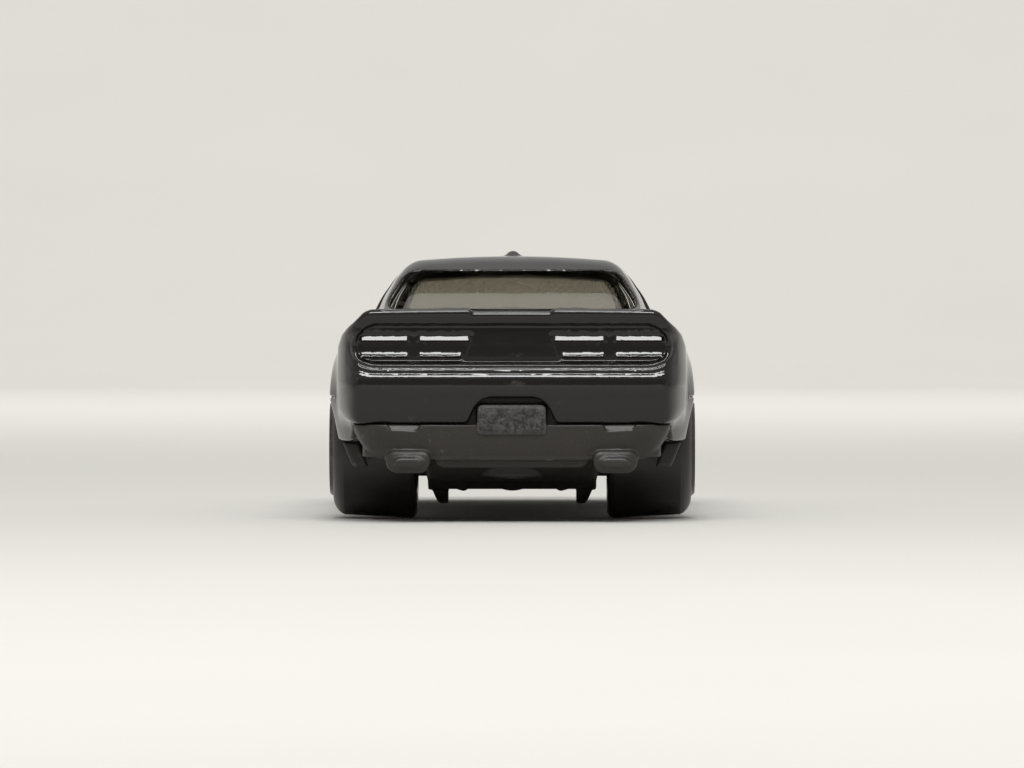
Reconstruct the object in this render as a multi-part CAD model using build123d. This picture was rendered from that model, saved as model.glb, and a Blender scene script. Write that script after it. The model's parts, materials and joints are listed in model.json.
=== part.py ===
from build123d import *
import os

# Diecast collector car: a wide-body two-door coupe at about 1:64, in millimetres.
# +X is the car's right-hand side, +Y is forward, +Z is up. The origin is on the ground, under the
# middle of the car. A cast body shell and a moulded chassis close round a clear glazing piece, a
# cabin tub and two steel axles, and two rivets through the chassis hold it all together.

# ---- Overall size ----
HALF_LENGTH = 38.7
SIDE_HALF_WIDTH = 14.95
TYRE_HALF_TRACK = 15.98  # to the outermost face of the rear wheels
WALL = 1.0  # casting thickness
GAP = 0.1  # assembly clearance between pieces that stay together
GLAZING_GAP = 0.2
GLAZING_T = 0.6

# ---- Wheels and axles ----
REAR_AXLE_Y = -22.1
FRONT_AXLE_Y = 23.9
REAR_WHEEL_R = 6.1
FRONT_WHEEL_R = 5.6
AXLE_R = 0.5
AXLE_CLEARANCE = 0.05
REAR_WHEEL_INNER_X = 8.2
FRONT_WHEEL_INNER_X = 9.0
REAR_WHEEL_OUTER_X = TYRE_HALF_TRACK
FRONT_WHEEL_OUTER_X = 15.5
RIM_SHARE = 0.69  # rim radius over tyre radius
HEAD_R = 0.8  # upset end of an axle
HEAD_T = 0.3
CRIMP_R = 0.75  # crimped collar that keeps a wheel from sliding inwards
CRIMP_T = 0.35
SPOKES = 10

# ---- Wheel arches ----
REAR_ARCH_R = 7.0
FRONT_ARCH_R = 6.5
FLARE_WIDTH = 0.9  # radial width of the flare round an arch
FLARE_X = 15.85
ARCH_INNER_X = 8.2

# ---- Tail ----
PANEL_DEPTH = 0.45  # how far the lamp panel is let in
RIM_RISE = 0.3  # how far the lamp rims stand out of it
LAMP_BEAD_Z = (14.35, 15.85)
LAMP_BEAD_X = ((3.9, 8.1), (8.7, 13.0))  # inner and outer lens of each lamp

# ---- Heights ----
SILL_Z = 3.9
FLOOR_Z = 3.5
TAIL_FLOOR_Z = 5.6
SPINE_Z = 2.6
FLOOR_T = 1.0
BUMPER_EDGE_Z = 8.45
FRONT_EDGE_Z = 5.2
FLARE_END_Z = 6.9
BELT_Z = 15.6
ROOF_Z = 22.95
AERIAL_Y = -5.2
AERIAL_R = 0.55

# ---- Cabin tub ----
TUB_Z = 4.6

# ---- Fixings ----
POST_R = 1.9
RIVET_R = 0.8
RIVET_HEAD_R = 1.7
RIVET_HEAD_T = 0.5
# Fore-and-aft place of each post, height of its foot, height of the rivet's face, top inside the body
POSTS = {"front": (33.0, 5.2, 3.2, 13.6), "rear": (-31.5, 6.0, 4.4, 17.4)}

# ---- Spine and display pad on the belly ----
SPINE_HALF_WIDTH = 7.4
PAD_HALF_WIDTH = 7.0
PAD_Y = (-11.0, 13.0)
PAD_Z = 2.4


def mirrored(part):
    """The part and its mirror image across the car's centre plane."""
    return part + mirror(part, about=Plane.YZ)


def block(low, high):
    """A box between two opposite corners."""
    size = [b - a for a, b in zip(low, high)]
    return Pos(*low) * Box(*size, align=(Align.MIN, Align.MIN, Align.MIN))


def rod_x(radius, x_from, x_to, y, z):
    """A cylinder along X between two stations."""
    bar = Rot(0, 90, 0) * Cylinder(radius, x_to - x_from)
    return Pos((x_from + x_to) / 2, y, z) * bar


def rod_y(radius, x, y_from, y_to, z):
    """A cylinder along Y between two stations."""
    bar = Rot(90, 0, 0) * Cylinder(radius, y_to - y_from)
    return Pos(x, (y_from + y_to) / 2, z) * bar


def post_z(radius, x, y, z_from, z_to):
    """A cylinder along Z between two heights."""
    return Pos(x, y, (z_from + z_to) / 2) * Cylinder(radius, z_to - z_from)


def side_prism(outline, half_width):
    """A Y-Z outline carried from side to side."""
    return extrude(Plane.YZ * outline, amount=half_width, both=True)


def rear_prism(outline, y_from, y_to):
    """An X-Z outline carried forward from one station to another."""
    return extrude(Plane.XZ.offset(-y_from) * outline, amount=y_from - y_to)


def rounded(points, radius):
    """A closed polygon with round corners."""
    face = make_face(Polyline(*points, close=True))
    return fillet(face.vertices(), radius)


def both_halves(right):
    """A symmetric outline from its right-hand points, listed from the bottom up."""
    return right + [(-x, z) for x, z in reversed(right)]


# ---- Body volumes ----
def plan_prism(inset, z_from, z_to):
    """The car's outline seen from above, drawn in by inset, as an upright prism."""
    sx = 1 - inset / SIDE_HALF_WIDTH
    sy = 1 - inset / HALF_LENGTH
    side_x = SIDE_HALF_WIDTH * sx
    rear = [(0, -HALF_LENGTH), (8.0, -38.4), (12.4, -37.1), (14.4, -34.9), (14.95, -31.5)]
    front = [(0, HALF_LENGTH), (7.5, 38.25), (11.8, 36.9), (14.1, 34.0), (14.95, 29.5)]
    rear_curve = Spline(*[(x * sx, y * sy) for x, y in rear], tangents=((1, 0), (0, 1)))
    front_curve = Spline(*[(x * sx, y * sy) for x, y in front], tangents=((1, 0), (0, -1)))
    side = Line((side_x, -31.5 * sy), (side_x, 29.5 * sy))
    half = Curve() + [rear_curve, side, front_curve]
    outline = make_face(half + mirror(half, about=Plane.YZ))
    return Pos(0, 0, z_from) * extrude(outline, amount=z_to - z_from)


# Cross-sections of the lower body: station, half-width at sill, at mid-height and at the shoulder,
# shoulder height, and height on the centre line.
SECTIONS = (
    (-40.0, 14.0, 14.95, 13.1, 17.3, 18.0),
    (-31.0, 14.2, 15.05, 13.2, 17.3, 18.3),
    (-22.0, 14.3, 15.15, 13.3, 17.0, 18.5),
    (-8.0, 14.2, 14.75, 13.2, 16.0, 17.9),
    (6.0, 14.1, 14.6, 13.1, 15.3, 16.9),
    (16.0, 14.1, 14.7, 13.1, 14.9, 16.1),
    (26.0, 14.2, 14.85, 13.1, 14.4, 15.4),
    (34.0, 14.0, 14.6, 12.8, 13.3, 14.3),
    (40.0, 13.4, 14.0, 12.2, 12.3, 13.1),
)
MID_Z = 9.5
FOOT_Z = 1.0


def section_wire(station, inset):
    """One closed cross-section of the lower body, drawn in by inset."""
    y, sill, mid, shoulder, shoulder_z, top = station
    crown = [
        (sill - inset, FOOT_Z),
        (mid - inset, MID_Z),
        (shoulder - 0.75 * inset, shoulder_z - 0.75 * inset),
        (0.55 * shoulder, top - 0.2 - inset),
    ]
    points = crown + [(0, top - inset)] + [(-x, z) for x, z in reversed(crown)]
    over = Spline(*points)
    base = Line(points[-1], points[0])
    return Plane.XZ.offset(-y) * make_face(over + base)


def end_profile(inset):
    """The lower body seen from the side: nose, tail and an open-ended top."""
    rear = [(-37.4, 20.0), (-37.4, 16.9), (-38.7, 12.9), (-38.6, 11.5), (-37.9, 8.4), (-36.8, FOOT_Z)]
    front = [(36.6, FOOT_Z), (38.3, 5.5), (38.7, 8.0), (38.6, 12.4), (37.6, 13.6), (37.0, 20.0)]
    points = [(y + inset, z) for y, z in rear] + [(y - inset, z) for y, z in front]
    return make_face(Polyline(*points, close=True))


def lower_volume(inset):
    """The lower body as one solid, drawn in by inset."""
    tube = loft([section_wire(station, inset) for station in SECTIONS])
    tube &= side_prism(end_profile(inset), 20)
    return tube & plan_prism(inset, 0, 21)


def cabin_volume(inset, base_z=BELT_Z - 2.6):
    """Roof, pillars and windows as one solid, drawn in by inset, from base_z up."""
    rise = ROOF_Z - inset
    foot_z = BELT_Z - 2.6
    top = Spline(
        (15.2 - 1.9 * inset, 15.1),
        (3.2 - inset, 22.0 - inset),
        (-4.0, rise),
        (-12.0, 22.35 - inset),
        (-27.0 + 2.2 * inset, 18.0),
        tangents=((-0.86, 0.5), (-0.92, -0.38)),
    )
    ends = Polyline(top @ 1, (-27.0 + 2.2 * inset, foot_z), (15.2 - 1.9 * inset, foot_z), top @ 0)
    along = side_prism(make_face(top + ends), 20)
    foot = (13.6 - inset, foot_z)
    hip = (12.25 - inset, 18.4)
    header = (10.0 - inset, 21.7 - inset)
    edge = (8.9 - inset, 22.55 - inset)
    crown = Spline(header, edge, (0, rise + 0.01), (-edge[0], edge[1]), (-header[0], header[1]))
    walls = Polyline((-header[0], header[1]), (-hip[0], hip[1]), (-foot[0], foot[1]), foot, hip, header)
    across = rear_prism(make_face(crown + walls), -40, 40)
    outline = [(0, -26.7), (7.5, -26.2), (10.9, -24.0), (12.6, -16.0), (13.2, -4.0)]
    nose = [(13.2, 4.0), (12.7, 9.0), (10.8, 12.6), (6.0, 14.4), (0, 14.9)]
    points = [(max(x - inset, 0), y + (inset if y < 0 else -inset)) for x, y in outline + nose]
    half = Spline(*points, tangents=((1, 0), (-1, 0)))
    plan = extrude(make_face(half + mirror(half, about=Plane.YZ)), amount=30)
    return along & across & plan & block((-20, -40, base_z), (20, 40, 30))


# ---- Body shell ----
def below_edge(drop):
    """Everything below the body's lower edge, seen from the side, with the edge lowered by drop."""
    edge = [
        (-42, BUMPER_EDGE_Z),
        (-35.6, BUMPER_EDGE_Z),
        (-33.4, FLARE_END_Z),
        (-27.0, FLARE_END_Z),
        (-18.0, SILL_Z),
        (30.0, SILL_Z),
        (31.5, FRONT_EDGE_Z),
        (42, FRONT_EDGE_Z),
    ]
    points = [(y, z - drop) for y, z in edge] + [(42, -3), (-42, -3)]
    return side_prism(make_face(Polyline(*points, close=True)), 20)


def window_cutter():
    """Windscreen, rear window, door glass and quarter glass openings."""
    rear = rear_prism(rounded(both_halves([(11.1, 18.5), (9.2, 21.5)]), 0.8), -30, -9.5)
    front = rear_prism(rounded(both_halves([(11.3, 16.6), (8.7, 21.1)]), 0.8), 2.5, 17)
    door = rounded([(8.9, 16.5), (2.2, 21.1), (-6.6, 21.3), (-6.6, 16.6)], 0.5)
    quarter = rounded([(-7.4, 16.7), (-7.4, 21.2), (-11.6, 20.6), (-15.6, 18.0), (-15.2, 17.2)], 0.4)
    sides = side_prism(door, 20) + side_prism(quarter, 20)
    sides -= block((-7.6, -40, 0), (7.6, 40, 30))
    return rear + front + sides


def arch_cutter():
    """Wheel arch openings on both sides."""
    rear = rod_x(REAR_ARCH_R, ARCH_INNER_X, 20, REAR_AXLE_Y, REAR_WHEEL_R)
    front = rod_x(FRONT_ARCH_R, ARCH_INNER_X, 20, FRONT_AXLE_Y, FRONT_WHEEL_R)
    return mirrored(rear + front)


def flare(arch_r, axle_y, axle_z, foot_z):
    """A raised lip round one right-hand wheel arch."""
    ring = rod_x(arch_r + FLARE_WIDTH, 13.9, FLARE_X, axle_y, axle_z)
    ring -= rod_x(arch_r, 13, 17, axle_y, axle_z)
    ring = chamfer(ring.edges().group_by(Axis.X)[-1], 0.3)
    return ring - block((10, -45, -10), (20, 45, foot_z))


def tail_relief():
    """What is cut from the tail for the lamp panel, and the lamp rims that stand in it."""
    skin = [lower_volume(depth) for depth in (PANEL_DEPTH - RIM_RISE, PANEL_DEPTH, WALL)]
    panel = rounded(both_halves([(13.2, 13.7), (13.6, 15.2), (12.7, 16.8)]), 0.6)
    cut = rear_prism(panel, -42, -34) - skin[1]
    rims = Part()
    for z in LAMP_BEAD_Z:
        for x_from, x_to in LAMP_BEAD_X:
            bead = [(x_from, z - 0.2), (x_to, z - 0.2), (x_to, z + 0.2), (x_from, z + 0.2)]
            rims += rear_prism(rounded(bead, 0.15), -42, -34)
    return cut, mirrored(rims) & (skin[0] - skin[2])


def spoiler():
    """Deck lip that follows the tail round, lower over its middle."""
    lip = make_face(
        Polyline((-38.6, 17.9), (-38.6, 18.35), (-34.0, 18.4), (-34.0, 17.3), (-37.0, 17.0), close=True)
    )
    lip = side_prism(lip, 14) & plan_prism(0.3, 15, 20)
    ends = rear_prism(rounded(both_halves([(12.7, 16.5), (12.3, 18.6)]), 0.7), -40, -33)
    return (lip & ends) - block((-3.4, -40, 18.08), (3.4, -33, 20))


def hood_scoop():
    """Raised intake on the bonnet, open at its leading edge."""
    profile = [(30.0, 13.0), (29.6, 15.9), (27.0, 16.45), (17.0, 16.6), (17.0, 13.5)]
    shell = side_prism(make_face(Polyline(*profile, close=True)), 3.6)
    mouth = block((-2.8, 27.6, 15.45), (2.8, 31, 16.0))
    return shell - mouth


def body_shell():
    """The cast body with its openings, lamps, lip, scoop, aerial and two fixing posts."""
    outer = lower_volume(0) + cabin_volume(0)
    inner = lower_volume(WALL) + cabin_volume(WALL)
    shell = outer - inner
    shell += mirrored(
        flare(REAR_ARCH_R, REAR_AXLE_Y, REAR_WHEEL_R, FLARE_END_Z)
        + flare(FRONT_ARCH_R, FRONT_AXLE_Y, FRONT_WHEEL_R, 4.6)
    )
    shell -= arch_cutter() + below_edge(0) + window_cutter()
    panel, rims = tail_relief()
    shell = shell - panel + rims
    shell += spoiler()
    shell += hood_scoop()
    plate_bay = rounded(both_halves([(4.45, 7.0), (3.0, 10.7)]), 0.4)
    shell -= rear_prism(plate_bay, -40, -36.5)
    grille_bay = rounded(both_halves([(12.6, 9.0), (12.9, 10.2), (12.2, 11.6)]), 0.5)
    shell -= rear_prism(grille_bay, 33.5, 42)
    shell += Pos(0, AERIAL_Y, ROOF_Z - 0.1) * Sphere(AERIAL_R)
    shell -= cabin_volume(WALL)
    for y, foot_z, face_z, top_z in POSTS.values():
        shell += post_z(POST_R, 0, y, foot_z, top_z)
        shell -= post_z(RIVET_R, 0, y, foot_z - 1, foot_z + 3.5)
    return shell


# ---- Glazing ----
def window_glazing():
    """One clear moulding that lines the cabin and shows in every window."""
    outside = cabin_volume(WALL + GLAZING_GAP, BELT_Z)
    inside = cabin_volume(WALL + GLAZING_GAP + GLAZING_T, BELT_Z - 1)
    return outside - inside


# ---- Chassis ----
def wheel_bays():
    """Room for the wheels beside the chassis spine."""
    rear = block((SPINE_HALF_WIDTH, REAR_AXLE_Y - 7.3, -1), (20, REAR_AXLE_Y + 7.3, 20))
    front = block((SPINE_HALF_WIDTH + 0.5, FRONT_AXLE_Y - 6.8, -1), (20, FRONT_AXLE_Y + 6.8, 20))
    return mirrored(rear + front)


def floor_pan():
    """Flat floor with a rising tail, a deeper spine down its middle and bays for the wheels."""
    under = [(-37.6, 5.5), (-34.4, 4.8), (-31.4, 3.9), (-28.5, FLOOR_Z), (31.0, FLOOR_Z), (36.9, 3.0)]
    over = [(y, z + FLOOR_T) for y, z in reversed(under)]
    pan = side_prism(make_face(Polyline(*under, *over, close=True)), 12.9)
    bay_end, shelf_z = REAR_AXLE_Y - 7.3, TAIL_FLOOR_Z + FLOOR_T
    tail_side = block((SPINE_HALF_WIDTH, -40, 0), (13, bay_end, shelf_z))
    tail_shelf = block((SPINE_HALF_WIDTH, -37.6, TAIL_FLOOR_Z), (12.9, bay_end, shelf_z))
    pan = pan - mirrored(tail_side) + mirrored(tail_shelf)
    channel = [(-28.5, FLOOR_Z), (-26.0, SPINE_Z), (31.0, SPINE_Z), (35.0, 3.0), (35.0, 4.0), (-28.5, 4.5)]
    spine = side_prism(make_face(Polyline(*channel, close=True)), SPINE_HALF_WIDTH)
    hollow = block((-6.4, -25.0, SPINE_Z + FLOOR_T), (6.4, 29.0, 6))
    pan = (pan + spine - hollow) & plan_prism(WALL + GAP, 0, 9)
    return pan - wheel_bays()


def side_skirts():
    """Low strips under the sills, between the wheels."""
    strip = block((12.5, -14.0, SILL_Z - 0.8), (14.2, 16.0, SILL_Z - GAP))
    return mirrored(strip)


def rear_valance():
    """The lower rear bumper with two notches, two outlets and a number plate block."""
    band = plan_prism(GAP, 5.5, BUMPER_EDGE_Z) - plan_prism(1.6, 4, 10)
    band &= block((-20, -40, 0), (20, -29.6, 20))
    band &= below_edge(GAP)
    corner = both_halves([(12.0, 5.4), (13.6, 5.9), (14.6, 6.9), (14.9, 9.5)])
    band &= rear_prism(make_face(Polyline(*corner, close=True)), -42, -20)
    notch = make_face(Polyline((7.6, 8.6), (8.0, 7.9), (10.4, 7.9), (10.9, 8.6), close=True))
    band -= mirrored(rear_prism(notch, -40, -37.0))
    flap = [(11.5, 5.5), (12.5, 4.75), (13.7, 4.75), (14.6, 6.7), (13.0, 6.7)]
    band += mirrored(rear_prism(make_face(Polyline(*flap, close=True)), -31.2, -30.0))
    outlet = rounded([(6.85, 5.9), (10.8, 5.9), (10.4, 4.3), (7.1, 4.3)], 0.4)
    bore = offset(outlet, -0.45)
    band += mirrored(rear_prism(outlet, -38.5, -33.6) - rear_prism(bore, -40, -37.9))
    band += block((-2.8, -37.7, 6.2), (2.8, -36.6, 8.6))
    plate = rounded(both_halves([(2.95, 7.65), (2.95, 10.12)]), 0.3)
    return band + rear_prism(plate, -38.45, -36.6)


def front_fascia():
    """Splitter, lower bumper and the upright grille with four lamp bowls."""
    splitter = plan_prism(0, 2.7, 3.5) - plan_prism(3.0, 2, 5)
    lower = plan_prism(0.3, 3.4, FRONT_EDGE_Z - GAP) - plan_prism(1.6, 2, 9)
    grille = plan_prism(WALL + 1.2, 3.4, 12.0) - plan_prism(WALL + 2.2, 2, 13)
    ahead = block((-20, 31.6, 0), (20, 45, 20))
    panel = (splitter + lower + grille) & ahead
    for x, y in ((7.6, 36.1), (10.6, 34.9)):
        panel += mirrored(rod_y(1.15, x, y - 0.8, y + 0.8, 10.3))
    return panel


def axle_bearers(axle_y, axle_z, lug_z):
    """Two slotted lugs that carry an axle from below."""
    reach = AXLE_R + AXLE_CLEARANCE
    lug = block((5.7, axle_y - 1.5, lug_z + 1.5), (SPINE_HALF_WIDTH, axle_y + 1.5, axle_z + 1.4))
    lug += rod_x(1.5, 5.7, SPINE_HALF_WIDTH, axle_y, lug_z + 1.5)
    slot = rod_x(reach, 5, 8, axle_y, axle_z)
    slot += block((5, axle_y - reach, axle_z), (8, axle_y + reach, axle_z + 3))
    return mirrored(lug - slot)


def running_gear_relief():
    """Differential, propeller shaft, gearbox, sump and exhaust pipes moulded on the belly."""
    parts = [
        block((-1.9, REAR_AXLE_Y - 2.2, 2.35), (2.1, REAR_AXLE_Y + 2.0, 3.5)),
        rod_y(0.6, 0, REAR_AXLE_Y, -11.0, SPINE_Z + 0.3),
        rod_y(0.55, -4.3, -27.0, -11.0, SPINE_Z + 0.3),
        rod_y(0.55, 4.3, -27.0, -11.0, SPINE_Z + 0.3),
        block((-2.8, 13.0, 2.4), (2.8, 20.0, 3.3)),
    ]
    return Part() + parts


def chassis_base():
    """The moulded chassis: pan, skirts, valance, grille, axle lugs and display pad."""
    base = floor_pan() + side_skirts() + rear_valance() + front_fascia()
    base += axle_bearers(REAR_AXLE_Y, REAR_WHEEL_R, 1.26)
    base += axle_bearers(FRONT_AXLE_Y, FRONT_WHEEL_R, SPINE_Z)
    base += running_gear_relief()
    base += block((-PAD_HALF_WIDTH, PAD_Y[0], PAD_Z), (PAD_HALF_WIDTH, PAD_Y[1], SPINE_Z + 0.5))
    for y, foot_z, face_z, top_z in POSTS.values():
        base += post_z(2.7, 0, y, face_z - 0.6, foot_z)
        base -= post_z(RIVET_HEAD_R + GAP, 0, y, -1, face_z)
        base -= post_z(RIVET_R, 0, y, 1, foot_z + 1)
    return base


# ---- Cabin ----
def seat(x, y):
    """One bucket seat with a head restraint."""
    cushion = block((x - 2.3, y - 2.4, TUB_Z), (x + 2.3, y + 2.6, 8.6))
    cushion = fillet(cushion.edges().group_by(Axis.Z)[-1], 0.6)
    back = make_face(Polyline((y - 2.4, 8.0), (y - 0.6, 8.0), (y - 2.6, 16.6), (y - 4.1, 16.4), close=True))
    back = extrude(Plane.YZ.offset(x - 2.2) * back, amount=4.4)
    head = block((x - 1.2, y - 4.0, 16.2), (x + 1.2, y - 2.7, 17.9))
    return cushion + back + head


def cabin_tub():
    """Floor, walls, parcel shelf, dashboard, console, seats and steering wheel in one moulding."""
    tub = block((-11.9, -14.6, TUB_Z), (11.9, 12.4, 14.2))
    tub -= block((-11.1, -13.8, TUB_Z + 0.8), (11.1, 11.6, 16))
    shelf = block((-9.6, -23.6, 14.7), (9.6, -13.8, 15.4))
    lip = block((-10.6, -15.2, 13.6), (10.6, -13.8, 15.4))
    dash = rounded([(12.2, 10.5), (12.2, 14.4), (10.2, 14.8), (8.0, 14.0), (8.6, 10.8)], 0.4)
    console = block((-1.2, -9.0, TUB_Z + 0.4), (1.2, 9.5, 8.0))
    rear_seat = [(-6.5, TUB_Z + 0.2), (-6.5, 8.6), (-11.4, 8.8), (-13.4, 15.0), (-14.2, 15.0), (-14.2, 5)]
    bench = side_prism(rounded(rear_seat, 0.3), 9.5)
    tilt = Rot(70, 0, 0)
    column = Pos(-5.2, 8.2, 12.6) * tilt * Cylinder(0.35, 4.0)
    hoop = Pos(-5.2, 6.5, 13.3) * tilt * Torus(1.9, 0.3)
    bar = Pos(-5.2, 6.5, 13.3) * tilt * Box(3.8, 0.6, 0.4)
    seats = [seat(-5.2, 0.8), seat(5.2, 0.8), bench]
    wheel = [column, hoop, bar]
    return tub + [shelf, lip, side_prism(dash, 11.4), console, *seats, *wheel]


# ---- Axles, wheels and rivets ----
def axle(axle_y, axle_z, inner_x, outer_x):
    """Steel pin with upset ends and two crimped collars inboard of the wheels."""
    hub_x = outer_x - 1.3
    bar = rod_x(AXLE_R, -hub_x - HEAD_T, hub_x + HEAD_T, axle_y, axle_z)
    head = rod_x(HEAD_R, hub_x + GAP, hub_x + GAP + HEAD_T, axle_y, axle_z)
    head = fillet(head.edges().group_by(Axis.X)[-1], 0.15)
    crimp = rod_x(CRIMP_R, inner_x - GAP - CRIMP_T, inner_x - GAP, axle_y, axle_z)
    return bar + mirrored(head + crimp)


def tyre(axle_y, radius, inner_x, outer_x):
    """A tyre with a coned tread and a bulging outer wall, on the right-hand side."""
    rim_r = radius * RIM_SHARE
    shoulder_x = outer_x - 1.0
    tread_r = radius - 0.32
    bead_x = outer_x - 0.32
    lines = Polyline(
        (bead_x, rim_r),
        (inner_x + 0.1, rim_r),
        (inner_x + 0.1, radius - 0.5),
        (inner_x + 0.35, radius - 0.12),
        (inner_x + 0.7, radius),
        (shoulder_x - 0.3, tread_r + 0.02),
    )
    wall = Spline(
        (shoulder_x - 0.3, tread_r + 0.02),
        (shoulder_x + 0.1, tread_r - 0.22),
        (bead_x - 0.12, rim_r + 0.7),
        (bead_x, rim_r),
    )
    ring = revolve(Plane.XZ * make_face(lines + wall), axis=Axis.X)
    return Pos(0, axle_y, radius) * ring


def rim(axle_y, radius, inner_x, outer_x):
    """A dished rim with spokes, a hub that runs on the axle and a recess for the axle's end."""
    rim_r = radius * RIM_SHARE
    face_x = outer_x - 0.02
    hub_x = outer_x - 1.3
    barrel = [
        (inner_x + 0.1, rim_r),
        (face_x - 0.3, rim_r),
        (face_x, rim_r - 0.25),
        (face_x, rim_r - 0.45),
        (face_x - 0.5, rim_r - 0.7),
        (face_x - 1.9, rim_r - 0.8),
        (inner_x + 0.1, rim_r - 0.6),
    ]
    shape = revolve(Plane.XZ * make_face(Polyline(*barrel, close=True)), axis=Axis.X)
    disc = [
        (hub_x - 1.4, 0),
        (hub_x - 1.4, rim_r - 0.5),
        (hub_x - 2.0, rim_r - 0.5),
        (hub_x - 2.0, 0),
    ]
    shape += revolve(Plane.XZ * make_face(Polyline(*disc, close=True)), axis=Axis.X)
    hub = rod_x(1.55, inner_x, hub_x + 0.5, 0, 0)
    hub = chamfer(hub.edges().group_by(Axis.X)[-1], 0.25)
    spoke = Pos(hub_x - 0.25, 0, 0.5 * rim_r + 0.2) * Box(1.3, 0.75, rim_r - 0.9)
    spoke = chamfer(spoke.edges().filter_by(Axis.Z).group_by(Axis.X)[-1], 0.2)
    for i in range(SPOKES):
        shape += Rot(360 / SPOKES * i, 0, 0) * spoke
    shape += hub
    shape -= rod_x(AXLE_R + AXLE_CLEARANCE, inner_x - 1, outer_x + 1, 0, 0)
    shape -= rod_x(HEAD_R + AXLE_CLEARANCE, hub_x, outer_x + 1, 0, 0)
    return Pos(0, axle_y, radius) * shape


def rivet(y, foot_z, face_z, top_z):
    """Flat-headed rivet that draws the chassis up to a body post."""
    head = post_z(RIVET_HEAD_R, 0, y, face_z - RIVET_HEAD_T, face_z)
    head = fillet(head.edges().group_by(Axis.Z)[0], 0.3)
    return head + post_z(RIVET_R, 0, y, face_z, foot_z + 3.0)


WHEELS = {
    "front": (FRONT_AXLE_Y, FRONT_WHEEL_R, FRONT_WHEEL_INNER_X, FRONT_WHEEL_OUTER_X),
    "rear": (REAR_AXLE_Y, REAR_WHEEL_R, REAR_WHEEL_INNER_X, REAR_WHEEL_OUTER_X),
}


def build():
    """Every piece of the car by name."""
    parts = {
        "body_shell": body_shell(),
        "window_glazing": window_glazing(),
        "chassis_base": chassis_base(),
        "cabin_tub": cabin_tub(),
    }
    for end, post in POSTS.items():
        parts[f"{end}_rivet"] = rivet(*post)
    for end, (y, radius, inner_x, outer_x) in WHEELS.items():
        parts[f"{end}_axle"] = axle(y, radius, inner_x, outer_x)
        for name, make in (("tyre", tyre), ("rim", rim)):
            shape = make(y, radius, inner_x, outer_x)
            parts[f"{end}_right_{name}"] = shape
            parts[f"{end}_left_{name}"] = mirror(shape, about=Plane.YZ)
    return parts


os.makedirs("parts", exist_ok=True)
for name, shape in build().items():
    export_step(shape, f"parts/{name}.step")
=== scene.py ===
import json
import math

import bpy
import numpy as np
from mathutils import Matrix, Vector


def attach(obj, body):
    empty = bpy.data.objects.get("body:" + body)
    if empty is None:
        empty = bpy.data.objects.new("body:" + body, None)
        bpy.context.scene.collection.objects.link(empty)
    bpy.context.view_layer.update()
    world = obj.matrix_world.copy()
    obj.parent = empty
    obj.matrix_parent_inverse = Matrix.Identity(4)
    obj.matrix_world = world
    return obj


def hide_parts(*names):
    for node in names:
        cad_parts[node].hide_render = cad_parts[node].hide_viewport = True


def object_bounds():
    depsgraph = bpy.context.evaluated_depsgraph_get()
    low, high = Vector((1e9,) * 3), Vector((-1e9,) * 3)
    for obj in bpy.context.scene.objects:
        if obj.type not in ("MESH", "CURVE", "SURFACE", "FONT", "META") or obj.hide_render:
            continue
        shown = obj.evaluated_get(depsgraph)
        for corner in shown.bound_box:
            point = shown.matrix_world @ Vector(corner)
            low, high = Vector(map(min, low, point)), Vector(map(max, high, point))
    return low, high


# Looks for the diecast coupe. Every shape is worked out in millimetres and written in metres.
# Body, chassis and glazing are level sets of smooth distance fields, which gives painted castings
# their soft edges. Wheels, axles, rivets and cabin keep their own shape, with rounded edges.

MM = 0.001
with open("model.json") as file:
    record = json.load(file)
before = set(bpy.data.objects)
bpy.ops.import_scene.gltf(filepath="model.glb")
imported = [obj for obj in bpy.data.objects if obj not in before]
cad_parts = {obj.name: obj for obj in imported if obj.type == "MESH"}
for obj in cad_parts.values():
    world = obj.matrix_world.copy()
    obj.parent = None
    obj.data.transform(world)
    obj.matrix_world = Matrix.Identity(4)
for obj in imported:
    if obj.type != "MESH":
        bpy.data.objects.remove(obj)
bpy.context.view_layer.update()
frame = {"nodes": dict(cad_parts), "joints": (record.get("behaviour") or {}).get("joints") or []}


def axle_of(end):
    """(y, z) of an axle in millimetres."""
    joint = next(j for j in frame["joints"] if j["name"] == f"{end}_axle_spin")
    return joint["pos_m"][1] / MM, joint["pos_m"][2] / MM


REAR_AXLE = axle_of("rear")
FRONT_AXLE = axle_of("front")
REAR_ARCH_R = 7.0
FRONT_ARCH_R = 6.5
WALL = 1.0


# ---------------------------------------------------------------- distance fields
def smax(a, b, k):
    """The larger of two fields, rounded over about k where they meet."""
    over = np.maximum(k - np.abs(a - b), 0)
    return np.maximum(a, b) + over * over / (4 * k)


def smin(a, b, k):
    """The smaller of two fields, filleted over about k."""
    return -smax(-a, -b, k)


def ramp(t, start, end):
    """0 before start, 1 after end, and smooth between them."""
    s = np.clip((t - start) / (end - start), 0, 1)
    return s * s * (3 - 2 * s)


def curve(t, points):
    """A smooth curve through (t, value) points that never overshoots them, level outside."""
    ts, vs = np.array(points, float).T
    rise = np.diff(vs) / np.diff(ts)
    slopes = np.zeros(len(ts))
    same = rise[1:] * rise[:-1] > 0
    mean = 2 * rise[1:] * rise[:-1] / np.where(same, rise[1:] + rise[:-1], 1)
    slopes[1:-1] = np.where(same, mean, 0)
    t = np.clip(t, ts[0], ts[-1])
    i = np.clip(np.searchsorted(ts, t) - 1, 0, len(ts) - 2)
    h = ts[i + 1] - ts[i]
    s = (t - ts[i]) / h
    a = vs[i] + h * s * slopes[i]
    b = vs[i + 1] - h * (1 - s) * slopes[i + 1]
    w = s * s * (3 - 2 * s)
    return a * (1 - w) + b * w


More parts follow.
